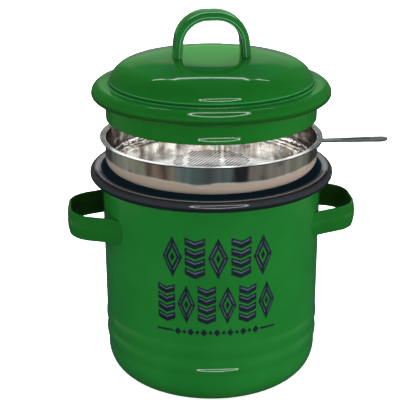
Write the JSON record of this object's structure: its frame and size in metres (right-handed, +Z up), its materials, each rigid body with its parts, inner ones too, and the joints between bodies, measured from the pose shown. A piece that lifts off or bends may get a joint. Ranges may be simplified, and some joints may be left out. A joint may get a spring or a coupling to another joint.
{
  "type": "grease container with strainer and lid",
  "caption": "Enamelled metal canister with side loop handles, a lift-out perforated strainer and a domed lid with an arch handle, shown with strainer and lid lifted.",
  "frame": {"origin": "on the pot's axis, in the plane its foot ring stands on", "axes": "+Z up along the axis of pot, strainer and lid; the two side handles lie along +X and -X, and the strainer's handle points towards +X, turned a little towards -Y"},
  "size_m": [0.1758, 0.1364, 0.2106],
  "materials": {
    "green_enamel": "glossy vitreous enamel",
    "black_enamel": "glossy vitreous enamel",
    "stainless_steel": "polished, lightly brushed"
  },
  "bodies": {
    "pot": {"pot_lining": "black_enamel", "pot_shell": "green_enamel", "right_side_handle": "green_enamel", "left_side_handle": "green_enamel"},
    "strainer": {"strainer_bowl": "stainless_steel", "strainer_floor": "stainless_steel", "strainer_handle": "stainless_steel"},
    "lid": {"lid_shell": "green_enamel", "lid_handle": "green_enamel"}
  },
  "joints": [
    {"name": "strainer_lift", "type": "slide", "parent": "pot", "child": "strainer", "axis": [0, 0, 1], "range_m": [-0.01615, 0.04]},
    {"name": "lid_lift", "type": "slide", "parent": "strainer", "child": "lid", "axis": [0, 0, 1], "range_m": [-0.0225, 0.06]}
  ]
}
